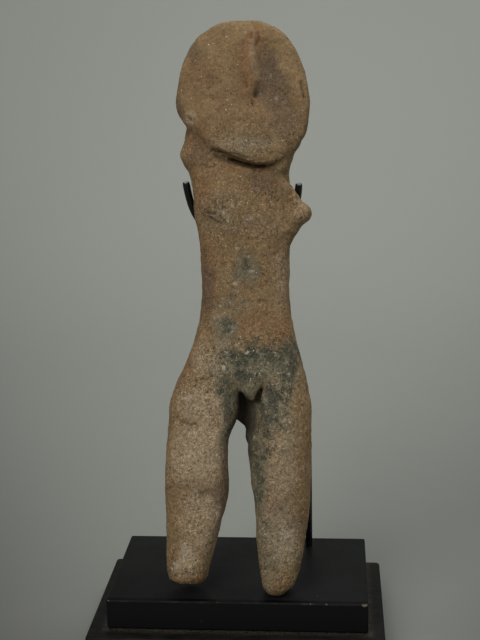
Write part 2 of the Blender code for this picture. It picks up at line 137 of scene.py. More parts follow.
CUT_LEVEL_AT = -8

# Lines pressed into the front: route across and up, reach, depth, and SOFT where it isn't a crease
# Creases are darkened with soil and painted shade
SOFT = True
PRESSED = {
    "left of the nose": (((1, 207), (2.4, 199), (3.6, 193)), 3.6, 0.45, SOFT),
    "right of the nose": (((12.2, 206), (12, 198), (11.4, 189.5)), 4.6, 0.8, SOFT),
    "left nostril": (((4.2, 192.8), (4.7, 191.4)), 1.2, 1),
    "right nostril": (((10, 192.4), (10.2, 190), (8.9, 188)), 1.7, 0.9),
    "right wing of the nose": (((9.3, 195.4), (10.6, 193.4)), 1, 0.4),
    "end of the nose": (((7.2, 185.4), (7.6, 184)), 0.9, 0.6),
    "crease beside the nose": (((3.4, 196.8), (3.7, 194.6)), 0.7, 0.35),
    "left edge of the crown scratch": (((6.7, 211.6), (6.9, 209.6)), 1, 0.4),
    "crown scratch": (((9.1, 212), (10, 209), (8.6, 206.6)), 1.1, 0.5),
    "crease at the right rim": (((25.4, 192.6), (26, 190), (26.6, 187.4)), 0.9, 0.9),
    "dent in the jaw": (((-16.6, 179.9), (-16, 179.6)), 1, 0.7),
    "left end of the lip": (((-8.4, 168.4), (-6, 167.4), (-3, 166.9)), 0.8, 0.45),
    "middle of the lip": (((0.4, 166.7), (3.4, 165.3), (6.4, 164.6)), 0.7, 0.45),
    "right end of the lip": (((8.6, 164.2), (11.8, 163.9)), 0.6, 0.35),
    # The pressed line under the chin darkens the undercut with soil and painted shade
    "dirty and shaded crease in the undercut": (((-7, 166.2), (-1.6, 163.9), (3, 162.6), (8, 161.3)), 1.5, 0.2),
    "end of the undercut": (((10.4, 161.2), (13.6, 161.9), (16.4, 163.4)), 0.9, 0.5),
    "seam of the right jaw": (((16.2, 162), (19.6, 165), (21.6, 169)), 1.6, 0.35, SOFT),
    "crease of the neck": (((-10.6, 162.6), (-8.6, 161.8), (-6.6, 162.6)), 0.7, 0.3),
    "lower crease of the broken breast": (((-9, 142.8), (-6.6, 141.4), (-4.4, 140.9)), 0.9, 0.8),
    "inner crease of the broken breast": (((-5.8, 143.4), (-4.4, 142.6), (-3.1, 141.2)), 0.8, 0.7),
    "upper crease of the broken breast": (((-9.8, 144.6), (-7.8, 144), (-6.6, 144.4)), 0.9, 0.6),
    "hollow of the broken breast": (((-7.4, 147.6), (-5, 146)), 3.2, 0.35, SOFT),
    "crease below the breast": (((18.2, 140.6), (20.8, 139.6), (22.8, 139.4)), 1.7, 0.5, SOFT),
    "navel": (((4.2, 126.4), (4.8, 124)), 1.3, 0.6),
    "crease of the left hip": (((-20.2, 66.2), (-17, 64.9), (-14.8, 65.4)), 1.2, 0.4),
    "dent below the left knee": (((-10.6, 37.6), (-8.6, 35), (-7.6, 31)), 2.4, 0.9, SOFT),
    "crease below the left knee": (((-13.2, 39), (-11, 37.4), (-8.2, 36.2), (-6.6, 33.6)), 1.1, 0.6),
    "scar below the left knee": (((-11.4, 38.4), (-9.6, 36.8)), 1, 0.4),
    "nick of the left knee": (((-3.6, 38.6), (-4.6, 36.2)), 1.2, 0.5, SOFT),
    "pits of the right shin": (((9.6, 27.4), (10.8, 26.4)), 1.3, 0.5, SOFT),
    "cut in the left hip": (((-7.9, 94.4), (-7.4, 92.6)), 0.7, 0.5),
}

# Small pits: across, up, reach, depth
PITS = (
    (-12.2, 82.1, 1.1, 0.9), (-14.9, 79.6, 0.9, 0.8), (-14.6, 81.7, 0.8, 0.7), (-6.6, 79.9, 1, 0.7),
    (8.3, 160.8, 0.9, 0.9), (10.1, 160.2, 0.8, 0.8), (-8.8, 164.6, 0.9, 0.7), (-9, 78, 0.8, 0.5),
    (1, 71.5, 0.9, 0.6), (13.6, 146.4, 0.8, 0.4), (-12, 184, 0.8, 0.4), (-2, 190, 0.7, 0.4),
    (16.8, 110.4, 0.8, 0.5), (12.2, 118.4, 0.7, 0.4), (-10, 60.6, 0.8, 0.5), (-16, 43, 0.8, 0.4),
    (12.4, 40.2, 0.9, 0.5), (17.4, 33, 0.8, 0.5), (-13, 24, 0.8, 0.5), (-19, 8.2, 1.2, 0.8),
    (-16.2, 7, 1, 0.7), (14.4, 9.4, 1, 0.6), (19, 12.6, 0.8, 0.5), (11, 26.8, 1, 0.6),
)

# Flat breaks: a point on the break, the way it faces, and how far it reaches
BREAKS = {
    "upper left of the rim": ((-7.9, -3.6, 217.6), (-0.4, -0.1, 0.92), 8),
    "left of the rim": ((-15.2, -3.6, 209.6), (-0.74, -0.1, 0.66), 8),
    "left shoulder": ((-18, -3, 171.4), (-0.965, 0, 0.263), 5.5),
    "chipped jaw": ((-19.6, -5.6, 180), (-0.8, -0.25, -0.55), 5),
    "tip of the breast": ((28.9, -7, 145.2), (0.97, -0.2, 0.1), 5),
    "end of the left leg": ((-19.2, 0, 2.7), (-0.04, -0.1, -0.99), 15),
    "inner side of the right foot": ((9.2, -3, 1.4), (-0.8, -0.2, -0.57), 5),
    "outer side of the right foot": ((20.6, -3, 0.4), (0.45, -0.1, -0.89), 7),
}

# Painted masks: across, up, half width, half height, strength
MASKS = {
    "soot": (
        (19.6, 90, 6, 6, 1), (13, 92, 8, 5, 0.75), (3, 91, 6, 4.4, 0.95), (20, 84, 4, 5, 0.7),
        (15, 95.4, 9, 2.6, 0.55), (-3.4, 89, 5, 6, 0.4), (-3, 77, 4, 8, 0.66), (3.6, 83.4, 5, 3.6, 1),
        (9, 87, 3, 3, 0.3), (15, 76.6, 4.4, 6, 1), (13, 70, 4.5, 7, 0.8), (19, 77, 5, 8, 0.4),
        # The soot blot at 4.8 across and 57 up, on the inner side of the right thigh, is soot and painted
        # shade together
        (15.6, 68, 7, 8, 0.4), (10.6, 60, 5, 11, 0.7), (8, 46, 4, 18, 0.5), (4.8, 57, 2.4, 11, 1),
        (-2.4, 66, 3.4, 9, 0.65), (-3, 102, 4, 4.2, 0.66), (4.6, 125, 2.6, 3.2, 0.42),
        (-5.5, 150.5, 5, 2.5, 0.14), (6.5, 169.5, 8, 3.5, 0.12), (11, 22, 5, 14, 0.25),
        (5, 96, 8, 3, 0.4), (-2, 112, 3, 3, 0.25),
    ),
    "smoke": (
        (6, 87, 18, 8.6, 1), (4.4, 79, 6, 7, 1), (-3, 78, 5, 14, 0.8), (14, 72, 9, 14, 0.75),
        (9.5, 72.6, 4, 5, 1), (20, 86, 6, 12, 0.9), (8.4, 44, 4.5, 26, 0.8), (12, 16, 6, 18, 0.55),
        (-3, 62, 4, 10, 0.6), (-3.5, 101, 6, 7, 0.9), (4.6, 124.5, 6.5, 7, 0.7), (0, 110, 7, 4, 0.4),
        (-6.5, 148, 8, 6, 0.2), (6.5, 170, 11, 4.5, 0.3), (20, 60, 5, 16, 0.35), (19, 24, 6, 14, 0.4),
        (-2.6, 30, 3, 14, 0.4), (2, 140, 16, 6, 0.25),
    ),
    "red": (
        (8.6, 209.5, 4.6, 5, 1), (5.4, 198, 4.6, 13, 0.85), (-13, 199, 5, 6, 0.35),
        (7.6, 184.5, 3.6, 2.8, 0.5), (-13.6, 171.5, 5.5, 8.5, 0.5), (1, 161, 16, 3.2, 0.4),
        (-11, 153, 4, 7, 0.7), (9.5, 104, 12, 6, 0.45), (-10.8, 119, 5, 19, 0.75), (18, 101, 5, 8, 0.5),
        (3, 137, 14, 4, 0.25), (-17, 92, 5, 12, 0.6), (-20, 33, 5, 8, 0.3), (-16, 4.6, 9, 1.7, 0.8),
        (16.5, 4, 5, 4, 0.45), (-15, 160, 5, 7, 0.5), (14, 34, 5, 5, 0.2),
    ),
    # Greyish patches, and painted shade on the face right of the nose
    "violet": (
        (13.6, 197, 5.4, 12, 1), (16.4, 188, 6.6, 10, 0.9), (19, 178, 6, 10, 0.7), (10.6, 191, 3, 5, 1),
        (-10.8, 116, 3.4, 16, 0.8), (-13, 167, 5, 7, 0.55), (12, 156, 10, 5, 0.5), (-15, 205, 5, 5, 0.7),
        (-21.6, 184, 3, 7, 0.8), (-6, 34, 5, 14, 0.7), (16, 38, 8, 12, 0.4), (4.4, 124, 6, 8, 0.5),
        (7, 172, 8, 5, 0.55), (-14, 40, 8, 10, 0.3), (-4, 112, 5, 4, 0.3),
    ),
    # Worn pale clay, with painted highlights along the nose ridge at 7.4 and 8 across and painted light on
    # the right of the waist at 17.5 across
    "pale": (
        (-13, 71, 10, 10, 0.9), (-13, 55, 13, 16, 1), (17.5, 120, 4, 14, 0.4), (17, 50, 8, 16, 0.7),
        (-13, 30, 10, 16, 0.75), (-18.4, 14, 5, 8, 1), (18, 20, 7, 11, 0.9), (-16.4, 180.4, 3, 4, 0.5),
        (7.4, 203, 1.5, 8, 0.4), (8, 196, 1.4, 3, 0.4), (2, 170.5, 12, 3, 0.4),
        (25.6, 145.6, 3.5, 4, 0.3), (-5.8, 88, 4, 12, 0.6), (-5.6, 143.6, 4, 3, 0.5),
        (17, 72, 7, 12, 0.6), (14, 30, 9, 12, 0.5), (-12, 90, 5, 8, 0.6),
    ),
    "chalk": (
        (-4.3, 86.2, 1.1, 0.8, 1), (5, 92.4, 0.6, 0.5, 0.9), (-3, 92, 0.5, 0.5, 0.8),
        (19.6, 88.6, 0.5, 0.5, 0.7), (-4.1, 144.8, 0.7, 1.1, 0.7), (-3, 141, 0.8, 0.6, 0.8),
        (-0.5, 147.4, 0.6, 0.6, 0.5), (5, 141.4, 0.7, 0.6, 0.8), (0.4, 130.7, 0.7, 0.6, 0.6),
        (-19.6, 16, 2.2, 3.6, 0.25), (-22.4, 10.6, 1.5, 2, 0.35), (-24.4, 9.6, 0.8, 0.7, 0.8),
        (-23.6, 11.6, 0.6, 0.6, 0.6), (0.6, 118.4, 1.1, 0.9, 0.6), (0.9, 114.9, 0.8, 0.8, 0.5),
        (-5.6, 107, 2, 1.4, 0.2), (-7, 105.6, 0.5, 0.5, 0.8), (-1.4, 99.4, 0.6, 0.5, 0.8),
        (-0.6, 101.4, 1.2, 1, 0.4), (-15.4, 181.6, 1.6, 1.6, 0.15), (16.9, 187.7, 0.6, 1.3, 0.32),
        (18.6, 184.9, 0.9, 0.8, 0.18), (13.9, 195, 0.5, 1.8, 0.2), (16.4, 202.7, 0.6, 1.6, 0.2),
        (7, 122.8, 1, 0.6, 0.35), (6.4, 129, 0.5, 0.5, 0.6), (9.6, 90.8, 0.9, 0.6, 0.6),
        (16.8, 84.6, 0.7, 0.5, 0.7), (20.6, 84.4, 0.7, 0.5, 0.7), (18.4, 23.4, 2.4, 2.4, 0.3),
        (-17.6, 75.4, 1.4, 1, 0.4),
    ),
    "grit": (
        (-6, 148, 6, 6, 1), (2, 146, 10, 9, 0.5), (0.4, 117, 4, 6, 0.7), (-4, 105, 6, 8, 1),
        (-2, 90, 7, 11, 1), (10, 86, 11, 9, 0.6), (-14, 78, 10, 12, 0.7), (4, 123, 6, 6, 0.6),
        (-5, 199, 9, 9, 0.15), (4, 166, 14, 7, 0.4), (14, 70, 10, 14, 0.8), (16, 24, 8, 16, 0.7),
        (-14, 18, 10, 14, 0.7), (-13, 50, 12, 18, 0.5),
    ),
}

# How coarse the clay looks: height along the figure, share
COARSENESS = ((0, 1), (14, 0.8), (60, 0.66), (76, 0.9), (95, 0.9), (104, 0.62), (134, 0.74),
              (148, 0.85), (158, 0.62), (170, 0.75), (182, 0.48), (220, 0.46))

# Chips in the front edge of the upper block: share of the way along it, share of the largest. Their
# shape, how far in they sit as a share of the largest, and how they turn along the edge
CHIPS = ((0.01, 0.38), (0.782, 0.34), (0.842, 0.42), (0.985, 1), (0.43, 0.26))
CHIP_SHAPE = (1.3, 0.9, 0.8)
CHIP_INSET, CHIP_TURN = 0.1, 9

# The hollow between the legs, darkened with soot and painted shade: middle, half sizes, and the depth at
# which it starts and is full
HOLLOW = ((1.6, 2, 66), (6.8, 11, 15))
HOLLOW_STARTS = (-7.5, -4)

# How far the masks' edges wander, and how strongly each mask shows in the loose patches on the back
WANDER = 1.8
BACK_PATCHES = {"soot": 0.8, "smoke": 0.8, "red": 0.4, "violet": 0.6, "pale": 0.5, "chalk": 0, "grit": 0.5}


# Helpers for settings

def length(name, description, default_mm):
    """A size that the user can change."""
    return FloatProperty(name=name, description=description, default=default_mm * MM,
                         subtype="DISTANCE", unit="LENGTH", precision=5)


def share(name, description, default):
    """A number from 0 to 1 that the user can change."""
    return FloatProperty(name=name, description=description, default=default, min=0.0, max=1.0,
                         subtype="FACTOR")


def tint(name, description, default):
    """A colour that the user can change."""
    return FloatVectorProperty(name=name, description=description, default=default, size=3,
                               min=0.0, max=1.0, subtype="COLOR")


def power(name, description, default):
    """A light's strength that the user can change."""
    return FloatProperty(name=name, description=description, default=default, min=0.0, unit="POWER")


class ClaySettings(bpy.types.PropertyGroup):
    """Sizes and colours of the clay figure."""
    grid: length("Skin grid", "Spacing of the points on the sculpted skin", 0.58)
    lumps: length("Lumps", "Height of the broad unevenness left by the modeller's fingers", 0.3)
    roughness_height: length("Rough skin", "Height of the small unevenness", 0.2)
    grain: length("Grain", "Height of the sandy grain", 0.14)
    pit_depth: length("Pits", "Depth of the small pits", 0.35)
    tan: tint("Tan", "Main colour of the fired clay", (0.225, 0.15, 0.072))
    brown: tint("Brown", "Darker patches of the clay", (0.17, 0.107, 0.05))
    red: tint("Red", "Iron-red patches", (0.2, 0.1, 0.042))
    ochre: tint("Ochre", "Small yellowish spots", (0.3, 0.185, 0.075))
    pink: tint("Pink", "Small pinkish spots", (0.225, 0.13, 0.08))
    # Violet grey: greyish patches of the face and shins, and painted shade right of the nose
    violet: tint("Violet grey", "Greyish patches of the face and shins", (0.106, 0.07, 0.041))
    # Pale: worn and scuffed clay, and painted highlights on the nose ridge and the right of the waist
    pale: tint("Pale", "Worn and scuffed clay", (0.365, 0.275, 0.177))
    smoke: tint("Smoke", "Smoked clay around and between the fire clouds", (0.152, 0.139, 0.09))
    soot: tint("Soot", "Fire clouds over the hips and thighs", (0.056, 0.055, 0.038))
    # Hollow: soil and soot, and painted shade, deep between the legs
    hollow: tint("Hollow", "Soil and soot deep between the legs", (0.048, 0.044, 0.032))
    grit: tint("Grit", "Pale grains in the clay", (0.52, 0.47, 0.38))
    # Pit: soil in the pits and dark lines, and soil with painted shade in the creases
    pit: tint("Pit", "Soil in the pits", (0.05, 0.034, 0.02))
    fleck: tint("Fleck", "Shining flecks in the clay", (0.85, 0.8, 0.68))


class StandSettings(bpy.types.PropertyGroup):
    """Sizes and colours of the stand's two blocks."""
    plate_corner: length("Plate corner", "Radius of the upper block's upright corners", 0.8)
    plate_edge: length("Plate edge", "Radius of the upper block's level edges", 0.75)
    plinth_corner: length("Plinth corner", "Radius of the lower block's upright corners", 1.6)
    plinth_edge: length("Plinth edge", "Radius of the lower block's level edges", 1.0)
    chip: length("Chip", "Size of the largest chip in the upper block's edge", 1.1)
    lacquer: tint("Lacquer", "Black lacquer of the upper block", (0.0074, 0.0082, 0.0078))
    bare: tint("Bare edge", "Undercoat and wood where the lacquer has worn off", (0.17, 0.145, 0.115))
    stain: tint("Stain", "Dark stain of the lower block", (0.0041, 0.004, 0.0035))
    dust: tint("Dust", "Dust on the lower block and specks on the upper one", (0.085, 0.073, 0.056))


class RodSettings(bpy.types.PropertyGroup):
    """Sizes and colours of the bent rods."""
    end_land: length("End land", "Width of the rounding at a rod's cut end", 0.35)
    braze: length("Braze", "Half width of the braze between post and fork", 2.3)
    paint: tint("Paint", "Black paint of the rods", (0.004, 0.004, 0.004))
    gloss: share("Roughness", "Roughness of the rods' paint", 0.2)


class StageSettings(bpy.types.PropertyGroup):
    """Backdrop, lights and camera."""
    backdrop: tint("Backdrop", "Colour of the floor and the backdrop", (0.33, 0.342, 0.31))
    key: power("Key light", "Strength of the soft light from the upper left", 10.4)
    fill: power("Fill light", "Strength of the soft light from the right", 2.3)
    top: power("Top light", "Strength of the soft light from above", 0.6)
    rim: power("Rim light", "Strength of the soft light from behind and above", 0.5)
    back: power("Backdrop light", "Strength of the light on the backdrop", 9.0)
    room: FloatProperty(name="Room light", description="Strength of the even light from all around",
                        default=0.16, min=0.0)


# Helpers for meshes

def add_object(name, data):
    """Puts a mesh, a light or a camera in the scene."""
    thing = bpy.data.objects.new(name, data)
    bpy.context.scene.collection.objects.link(thing)
    return thing


def new_piece(name, mesh):
    """Puts a mesh in the scene as a piece of the object."""
    piece = add_object(name, mesh)
    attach(piece, "root")
    return piece


def mesh_of(bm, name):
    """Turns a bmesh into a mesh and frees it."""
    mesh = bpy.data.meshes.new(name)
    bm.to_mesh(mesh)
    bm.free()
    return mesh


def node_copy(node):
    """A bmesh copy of a packed solid, with its loose triangles joined."""
    bm = bmesh.new()
    bm.from_mesh(frame["nodes"][node].data)
    bmesh.ops.remove_doubles(bm, verts=bm.verts, dist=0.001 * MM)
    return bm


def worked(mesh, modifiers):
    """The mesh after some modifiers, given as (type, {setting: value})."""
    thing = add_object("worked", mesh)
    for kind, settings in modifiers:
        modifier = thing.modifiers.new(kind, kind)
        for setting, value in settings.items():
            setattr(modifier, setting, value)
    graph = bpy.context.evaluated_depsgraph_get()
    graph.update()
    result = bpy.data.meshes.new_from_object(thing.evaluated_get(graph))
    bpy.data.objects.remove(thing)
    return result


def carved(mesh, tool, *after):
    """The mesh with another one cut out of it, and any modifiers after that."""
    cutter = add_object("cutter", tool)
    result = worked(mesh, [("BOOLEAN", {"operation": "DIFFERENCE", "object": cutter}), *after])
    bpy.data.objects.remove(cutter)
    return result


def places(mesh, what="co"):
    """All of a mesh's points, or something else that they keep, as an array."""
    flat = np.empty(3 * len(mesh.vertices))
    mesh.vertices.foreach_get(what, flat)
    return flat.reshape(-1, 3)


def ways(mesh):
    """The way the surface faces at each point, as an array."""
    return places(mesh, "normal")


def set_places(mesh, points):
    """Moves all of a mesh's points."""
    mesh.vertices.foreach_set("co", points.ravel())
    mesh.update()


def smooth_step(value, low, high):
    """0 below low, 1 above high, and a smooth curve between them."""
    t = np.clip((value - low) / (high - low), 0.0, 1.0)
    return t * t * (3 - 2 * t)


def noise_at(points, size, octaves=2, seed=0.0):
    """Even noise from about -1 to 1, with features of about the given size."""
    shift = Vector((seed, seed * 1.7, -seed * 0.6))
    return np.array([noise.fractal(Vector(p) / size + shift, 1.0, 2.0, octaves) for p in points])


# Helpers for materials

class Finish:
    """Lays out one procedural material from node to node; sizes are in millimetres."""

    def __init__(self, name, roughness):
        self.material = bpy.data.materials.new(name)
        self.material.use_nodes = True
        self.tree = self.material.node_tree
        self.shader = self.tree.nodes["Principled BSDF"]
        self.shader.inputs["Roughness"].default_value = roughness
        where = self.node("TexCoord").outputs["Object"]
        self.place = self.vector("SCALE", where, scale=1 / MM)
        self.apart = self.node("SeparateXYZ", Vector=self.place)

    def feed(self, socket, value):
        """Links an output into a socket, or sets the socket to a plain value."""
        if isinstance(value, bpy.types.NodeSocket):
            self.tree.links.new(value, socket)
        elif hasattr(socket.default_value, "__len__") and len(socket.default_value) == 4:
            socket.default_value = (*value, 1.0)
        else:
            socket.default_value = value

    def node(self, kind, **values):
        """A new node with some of its inputs fed."""
        node = self.tree.nodes.new("ShaderNode" + kind)
        for name, value in values.items():
            self.feed(node.inputs[name], value)
        return node

    def vector(self, operation, a, b=None, scale=None):
        node = self.node("VectorMath")
        node.operation = operation
        for place, value in ((0, a), (1, b), ("Scale", scale)):
            if value is not None:
                self.feed(node.inputs[place], value)
        return node.outputs["Vector"]

    def calc(self, operation, a, b=0.0, clamp=False):
        node = self.node("Math")
        node.operation = operation
        node.use_clamp = clamp
        self.feed(node.inputs[0], a)
        self.feed(node.inputs[1], b)
        return node.outputs[0]

    def times(self, a, b):
        return self.calc("MULTIPLY", a, b)

    def plus(self, a, b):
        return self.calc("ADD", a, b)

    def minus(self, a, b):
        return self.calc("SUBTRACT", a, b)

    def clouds(self, size, detail=3.0, rough=0.6, shift=(0.0, 0.0, 0.0), longer=1.0, turn=0.0):
        """Noise from 0 to 1 with features of the given size, longer along a line turned in the front."""
        mapping = self.node("Mapping", Vector=self.place, Location=shift, Scale=(longer, 1.0, 1.0),
                            Rotation=(0.0, math.radians(turn), 0.0))
        mapping.vector_type = "TEXTURE"
        field = self.node("TexNoise", Vector=mapping.outputs[0], Scale=1 / size, Detail=detail,
                               Roughness=rough)
        return field.outputs["Fac"]

    def spots(self, size, rarity, outer, inner, shift=(0.0, 0.0, 0.0), wobble=0.0):
        """Spots in the middle of some cells of the given size, from 0 to 1, and a tone for each cell."""
        moved = self.vector("ADD", self.place, shift)
        if wobble:
            push = self.node("TexNoise", Vector=moved, Scale=2 / size).outputs["Color"]
            moved = self.vector("ADD", moved, self.vector("SCALE", push, scale=wobble * size))
        cells = self.node("TexVoronoi", Vector=moved, Scale=1 / size)
        chance, tone, _ = self.node("SeparateColor", Color=cells.outputs["Color"]).outputs
        inside = self.span(cells.outputs["Distance"], outer, inner)
        return self.times(self.calc("GREATER_THAN", chance, rarity), inside), tone

    def streaks(self, size, shift):
        """Short thin lines in three directions, from 0 to 1."""
        lines = [self.clouds(size, 1.0, 0.5, shift, 9.0, turn) for turn in (24.0, -41.0, 80.0)]
        return self.calc("MAXIMUM", self.calc("MAXIMUM", lines[0], lines[1]), lines[2])

    def span(self, value, low, high, start=0.0, end=1.0):
        """Maps low to high onto start to end, smoothly and within them."""
        ends = {"From Min": low, "From Max": high, "To Min": start, "To Max": end}
        node = self.node("MapRange", Value=value, **ends)
        node.interpolation_type = "SMOOTHSTEP"
        return node.outputs["Result"]

    def painted(self, name):
        """A mask painted on the piece."""
        node = self.node("Attribute")
        node.attribute_name = name
        return node.outputs["Fac"]

    def blend(self, amount, a, b):
        node = self.node("Mix")
        node.data_type = "RGBA"
        for place, value in ((0, amount), (6, a), (7, b)):
            self.feed(node.inputs[place], value)
        return node.outputs[2]

    def shade(self, colour, value):
        """Multiplies a colour by a number."""
        return self.vector("MULTIPLY", colour, self.node("CombineXYZ", X=value, Y=value, Z=value).outputs[0])

    def bump(self, height, strength, distance_mm):
        node = self.node("Bump", Height=height, Strength=strength, Distance=distance_mm * MM)
        self.feed(self.shader.inputs["Normal"], node.outputs[0])

    def colour(self, value):
        self.feed(self.shader.inputs["Base Color"], value)

    def roughness(self, value):
        self.feed(self.shader.inputs["Roughness"], value)


# The clay figure

def skinned_clay(settings):
    """The figure's solid with its added clay and its sharp cuts, as one even skin on its own grid."""
    bm = node_copy("figurine")
    bmesh.ops.transform(bm, matrix=TO_GRID, verts=bm.verts)
    for middle, sizes, turn in ADDED_CLAY.values():
        place = (Matrix.Translation(middle) @ Matrix.Rotation(math.radians(turn), 4, "Y")
                 @ Matrix.Diagonal((*sizes, 1.0)))
        bmesh.ops.create_icosphere(bm, subdivisions=4, radius=1.0, matrix=place)
    remesh = ("REMESH", {"mode": "VOXEL", "voxel_size": settings.grid / MM})
    skin = worked(mesh_of(bm, "clay"), [remesh])
    for cut in CUTS.values():
        skin = carved(skin, wedge(*cut), remesh)
    return worked(skin, [("SMOOTH", {"factor": 0.5, "iterations": 1})])


def wedge(outline, start, end, fall, left_over, upright_at):
    """A wedge with sharp sides that runs back into the clay."""
    bm = bmesh.new()
    raised = fall * (start - CUT_LEVEL_AT)
    front = bm.faces.new([bm.verts.new((x, start, z + raised)) for x, z in outline])
    swept = bmesh.ops.extrude_face_region(bm, geom=[front])["geom"]
    far = [part for part in swept if isinstance(part, bmesh.types.BMVert)]
    bmesh.ops.translate(bm, vec=(0.0, end - start, fall * (end - start)), verts=far)
    about = Matrix.Translation((-upright_at, 0.0, 0.0))
    bmesh.ops.scale(bm, vec=(left_over, 1.0, 1.0), space=about, verts=far)
    bmesh.ops.recalc_face_normals(bm, faces=bm.faces)
    return mesh_of(bm, "wedge")


def on_front(tree, across, height):
    """The point of the figure's front at a place across and up."""
    hit, _, _, _ = tree.ray_cast(Vector((across, IN_FRONT, height)), Vector((0, 1, 0)))
    if hit is None:
        raise RuntimeError("no clay at %.1f across and %.1f up" % (across, height))
    return hit


def distance_to_line(points, route):
    """How far each point is from a line of straight stretches."""
    best = np.full(len(points), np.inf)
    for start, end in zip(route, route[1:]):
        start, run = np.array(start), np.array(end) - np.array(start)
        along = np.clip((points - start) @ run / (run @ run), 0.0, 1.0)
        best = np.minimum(best, np.linalg.norm(points - start - along[:, None] * run, axis=1))
    return best


def press(mesh, route, reach, depth, soft):
    """Pushes the clay in along a line, softly or to a crease, and gives how much the crease is darkened with
    dirt and painted shade.
    """
    points = places(mesh)
    away = distance_to_line(points, route) / reach
    if soft:
        pushed = np.clip(1 - (away / 1.3) ** 2, 0.0, 1.0) ** 2
    else:
        pushed = np.clip(1 - away, 0.0, 1.0)
    set_places(mesh, points - ways(mesh) * (depth * pushed)[:, None])
    return np.zeros(len(points)) if soft else pushed ** 2


def smooth_joins(mesh):
    """Smooths the clay where added lumps meet the body."""
    bm = bmesh.new()
    bm.from_mesh(mesh)
    for middle, reach, times in SMOOTHED.values():
        near = [vert for vert in bm.verts if (vert.co - Vector(middle)).length < reach]
        for step in range(times):
            inner = [v for v in near if (v.co - Vector(middle)).length < reach * (1 - 0.5 * step / times)]
            bmesh.ops.smooth_vert(bm, verts=inner, factor=0.5,
                                  use_axis_x=True, use_axis_y=True, use_axis_z=True)
    bm.to_mesh(mesh)
    bm.free()


def break_off(mesh, middle, facing, reach):
    """Flattens what stands beyond a plane near a point, as a break does."""
    points = places(mesh)
    middle = np.array(middle)
    facing = np.array(facing) / np.linalg.norm(facing)
    beyond = (points - middle) @ facing
    near = 1 - smooth_step(np.linalg.norm(points - middle, axis=1), 0.7 * reach, reach)
    set_places(mesh, points - facing * (np.clip(beyond, 0.0, None) * near)[:, None])


def coarseness(points):
    """How coarse the clay looks at each point."""
    heights, shares = zip(*COARSENESS)
    return np.interp(points[:, 2], heights, shares)


def roughen(mesh, settings):
    """Lumps, rough skin, sandy grain and pits."""
    points, facing = places(mesh), ways(mesh)
    lumps = noise_at(points, 9.0, 2, 3.1) * settings.lumps / MM
    coarse = coarseness(points)
    rough = noise_at(points, 3.0, 2, 7.7) * coarse * settings.roughness_height / MM
    grain = noise_at(points, 1.1, 2, 12.3) * coarse * settings.grain / MM
    pits = np.array([noise.voronoi(Vector(p) / 3.4)[0][0] for p in points])
    chance = noise_at(points, 5.0, 2, 21.0)
    depth = settings.pit_depth / MM * (1 - smooth_step(pits, 0.08, 0.34)) * smooth_step(chance, 0.0, 0.5)
    move = lumps + rough + grain - depth
    set_places(mesh, points + facing * move[:, None])


def blot(points, across, height, half_width, half_height):
    """1 in the middle of an oval on the front, fading to 0 at about its edge."""
    away = np.hypot((points[:, 0] - across) / half_width, (points[:, 2] - height) / half_height)
    return 1 - smooth_step(away, 0.35, 1.25)


def paint_masks(mesh):
    """Paints the masks on the front, looser patches on the back, the hollow's soot and painted shade, and
    the coarseness.
    """
    points, facing = places(mesh), ways(mesh)
    middle, sizes = HOLLOW
    hollow = 1 - smooth_step(np.linalg.norm((points - middle) / sizes, axis=1), 0.8, 1.15)
    hollow *= smooth_step(points[:, 1], *HOLLOW_STARTS)
    front = smooth_step(-facing[:, 1], -0.35, 0.25)
    wander = noise_at(points, 7.0, 3, 31.0)
    for name, blots in MASKS.items():
        value = np.zeros(len(points))
        for *oval, strength in blots:
            value = np.maximum(value, strength * blot(points + WANDER * wander[:, None], *oval))
        patches = BACK_PATCHES[name] * smooth_step(noise_at(points, 16.0, 3, 40.0 + len(name)), 0.05, 0.6)
        value = value * front + patches * (1 - front)
        paint(mesh, name, value)
    paint(mesh, "hollow", hollow)
    paint(mesh, "coarse", coarseness(points))


def paint(mesh, name, value):
    """Keeps a number for each point under a name that the material reads."""
    layer = mesh.attributes.new(name, "FLOAT", "POINT")
    layer.data.foreach_set("value", value.astype(np.float32))


